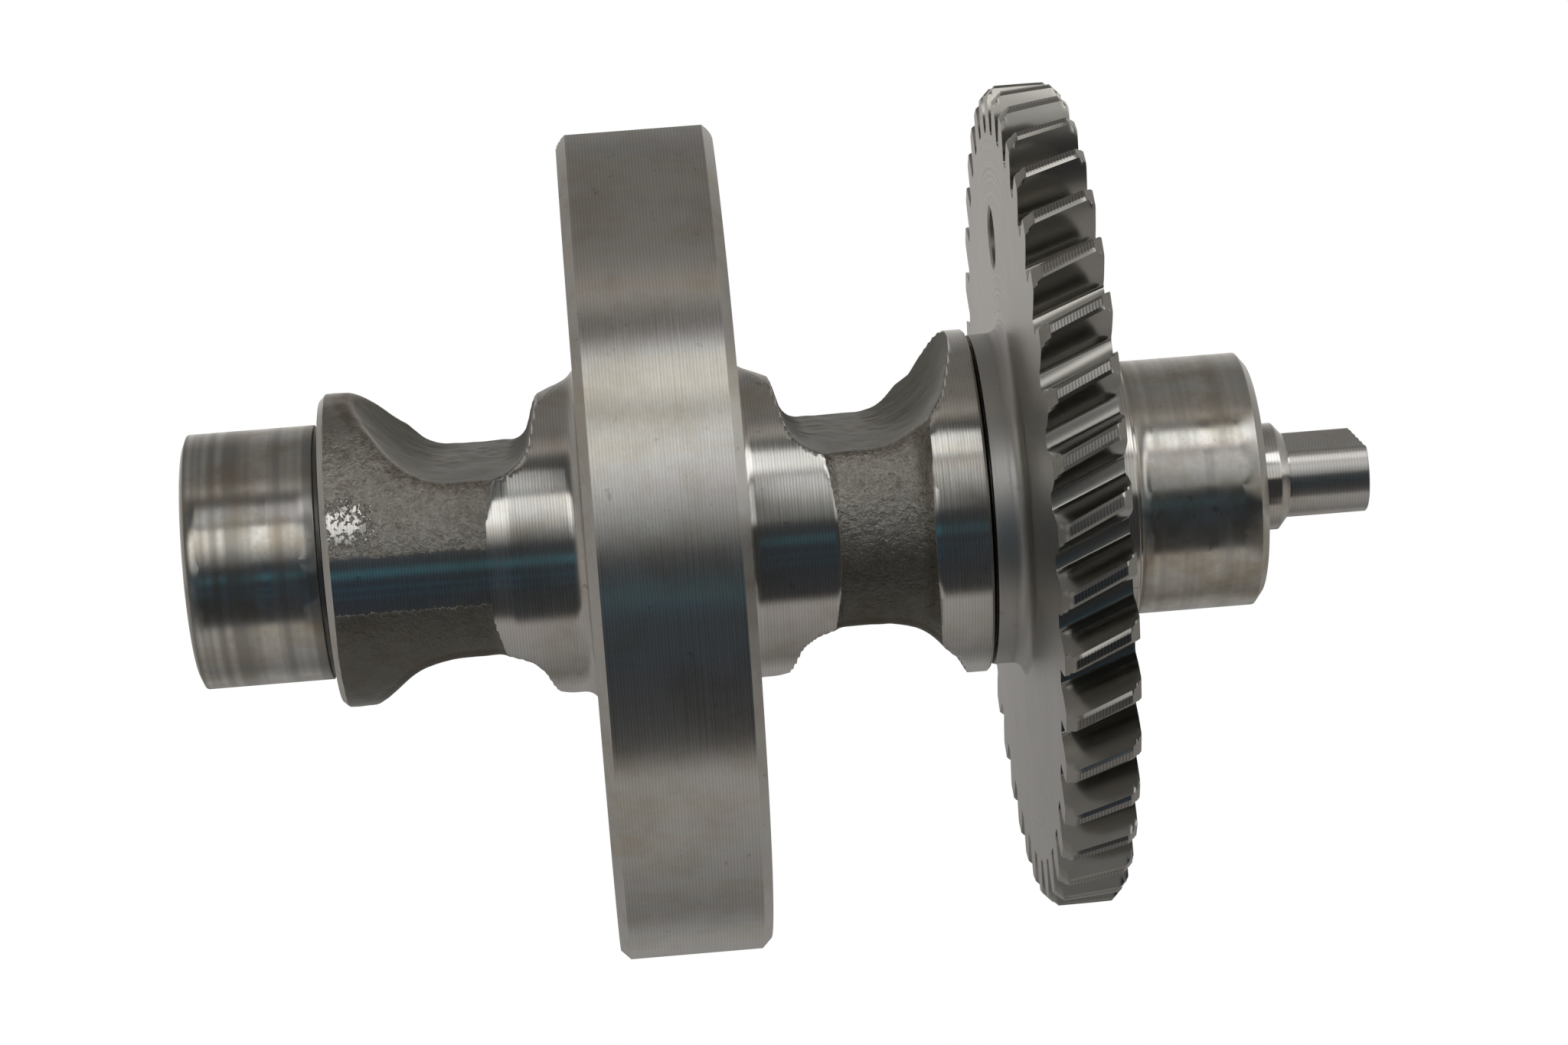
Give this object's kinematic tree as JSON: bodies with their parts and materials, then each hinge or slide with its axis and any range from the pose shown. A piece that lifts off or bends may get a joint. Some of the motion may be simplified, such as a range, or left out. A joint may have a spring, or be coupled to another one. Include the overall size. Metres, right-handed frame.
{
  "type": "balance shaft",
  "caption": "Engine balance shaft: a thick half-disc counterweight on a forged shaft with two bearing journals, a helical drive gear and a flatted drive tang.",
  "frame": {"origin": "on the shaft's axis, at the end face of the plain journal", "axes": "+Z along the shaft's axis towards the drive tang, -Y towards the middle of the counterweight"},
  "size_m": [0.0978, 0.099, 0.1386],
  "materials": {
    "forged_steel": "turned journals, rim and hubs, as-forged necks",
    "gear_steel": "matte turned face, polished tooth flanks"
  },
  "bodies": {
    "root": {"balance_shaft": "forged_steel", "drive_gear": "gear_steel"}
  },
  "joints": []
}
